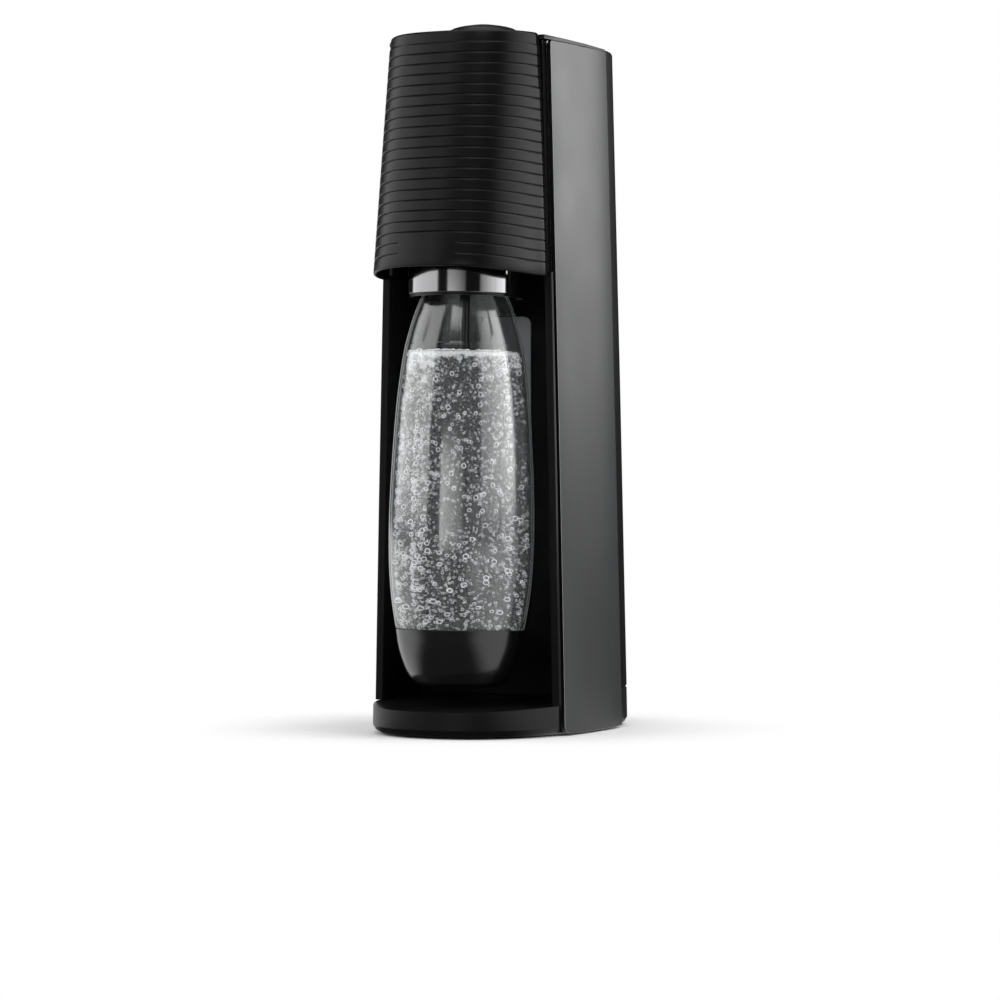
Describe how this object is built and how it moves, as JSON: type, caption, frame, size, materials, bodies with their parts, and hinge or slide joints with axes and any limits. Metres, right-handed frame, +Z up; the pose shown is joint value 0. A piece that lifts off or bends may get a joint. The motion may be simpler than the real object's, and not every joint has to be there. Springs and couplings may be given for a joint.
{
  "type": "soda carbonator",
  "caption": "Countertop soda carbonator: tapered oval housing with a ribbed head, press button, tilting bottle grip, clear bottle and a gas cylinder behind a sliding back cover.",
  "frame": {"origin": "centre of the footprint, on the worktop", "axes": "+Z up, -Y the front where the bottle hangs, +X the viewer's right"},
  "size_m": [0.1328, 0.1948, 0.428],
  "materials": {
    "matte_black_plastic": "matte",
    "gloss_black_plastic": "gloss",
    "satin_graphite_plastic": "satin",
    "chrome_trim": "polished",
    "steel": "brushed",
    "brass": "satin",
    "painted_cylinder": "satin",
    "rubber": "matte",
    "clear_bottle": "clear",
    "accent_plastic": "satin",
    "white_plastic": "satin"
  },
  "bodies": {
    "housing": {"base_shell": "matte_black_plastic", "base_plate": "matte_black_plastic", "foot_front_left": "rubber", "foot_front_right": "rubber", "foot_rear_left": "rubber", "foot_rear_right": "rubber", "base_screw_front_left": "steel", "base_screw_front_right": "steel", "base_screw_rear_left": "steel", "base_screw_rear_right": "steel", "niche_frame": "gloss_black_plastic", "niche_ceiling": "matte_black_plastic", "head_shell": "matte_black_plastic", "top_cover": "matte_black_plastic", "side_panel_left": "satin_graphite_plastic", "side_panel_right": "satin_graphite_plastic", "button_guide": "white_plastic", "button_spring": "steel", "head_bracket": "steel", "valve_block": "brass", "lever_pin": "steel", "relief_valve": "brass", "gas_pipe": "steel", "nozzle_hose": "rubber", "carrier_pin_left": "steel", "carrier_pin_right": "steel", "cylinder_seat": "matte_black_plastic", "co2_cylinder": "painted_cylinder", "cylinder_valve": "brass", "quick_connect_housing": "white_plastic", "handle_pin_left": "steel", "handle_pin_right": "steel"},
    "button": {"carbonating_button": "matte_black_plastic"},
    "lever": {"valve_lever": "accent_plastic"},
    "valve_stem": {"valve_stem": "steel"},
    "carrier": {"nozzle_carrier": "matte_black_plastic", "collar_ring": "gloss_black_plastic", "collar_visor": "chrome_trim", "nozzle_gasket": "rubber", "nozzle_tube": "matte_black_plastic"},
    "jaw_left": {"grip_jaw_left": "white_plastic"},
    "jaw_right": {"grip_jaw_right": "white_plastic"},
    "bottle": {"bottle_shell": "clear_bottle", "bottle_base_cup": "matte_black_plastic"},
    "back_cover": {"back_cover": "matte_black_plastic"},
    "cover_latch": {"cover_latch_button": "gloss_black_plastic"},
    "cylinder_handle": {"lift_handle": "accent_plastic"},
    "cylinder_clamp": {"cylinder_clamp": "steel"}
  },
  "joints": [
    {"name": "button_press", "type": "slide", "parent": "housing", "child": "button", "axis": [0, 0, -1], "range_m": [0, 0.006], "stiffness_N_per_m": 500, "springref_m": -0.002, "deforming": ["button_spring"]},
    {"name": "lever_tilt", "type": "hinge", "parent": "housing", "child": "lever", "pos_m": [0, 0.0015, 0.3804], "axis": [1, 0, 0], "range_deg": [0, 15]},
    {"name": "valve_stem_press", "type": "slide", "parent": "housing", "child": "valve_stem", "axis": [0, 0, -1], "range_m": [0, 0.0032]},
    {"name": "carrier_tilt", "type": "hinge", "parent": "housing", "child": "carrier", "pos_m": [0, -0.04575, 0.3], "axis": [-1, 0, 0], "range_deg": [0, 18], "deforming": ["nozzle_hose"]},
    {"name": "jaw_left_open", "type": "slide", "parent": "carrier", "child": "jaw_left", "axis": [-1, 0, 0], "range_m": [0, 0.0015]},
    {"name": "jaw_right_open", "type": "slide", "parent": "carrier", "child": "jaw_right", "axis": [1, 0, 0], "range_m": [0, 0.0015]},
    {"name": "bottle_release", "type": "slide", "parent": "carrier", "child": "bottle", "axis": [0, -0.0323, -0.9995], "range_m": [0, 0.008]},
    {"name": "back_cover_slide", "type": "slide", "parent": "housing", "child": "back_cover", "axis": [0, 1, 0], "range_m": [0, 0.1]},
    {"name": "cover_latch_press", "type": "slide", "parent": "back_cover", "child": "cover_latch", "axis": [0, -1, 0], "range_m": [0, 0.003], "stiffness_N_per_m": 400, "springref_m": -0.001},
    {"name": "cylinder_handle_lift", "type": "hinge", "parent": "housing", "child": "cylinder_handle", "pos_m": [0, 0.0455, 0.38], "axis": [1, 0, 0], "range_deg": [0, 80]},
    {"name": "clamp_drop", "type": "slide", "parent": "housing", "child": "cylinder_clamp", "axis": [0, 0, -1], "range_m": [0, 0.0041]}
  ],
  "couplings": [
    {"joint": "lever_tilt", "follows": "button_press", "rad_per_m": 43.629},
    {"joint": "valve_stem_press", "follows": "button_press", "ratio": 0.52},
    {"joint": "jaw_left_open", "follows": "carrier_tilt", "m_per_rad": 0.00477},
    {"joint": "jaw_right_open", "follows": "carrier_tilt", "m_per_rad": 0.00477},
    {"joint": "clamp_drop", "follows": "cylinder_handle_lift", "m_per_rad": 0.002865}
  ]
}
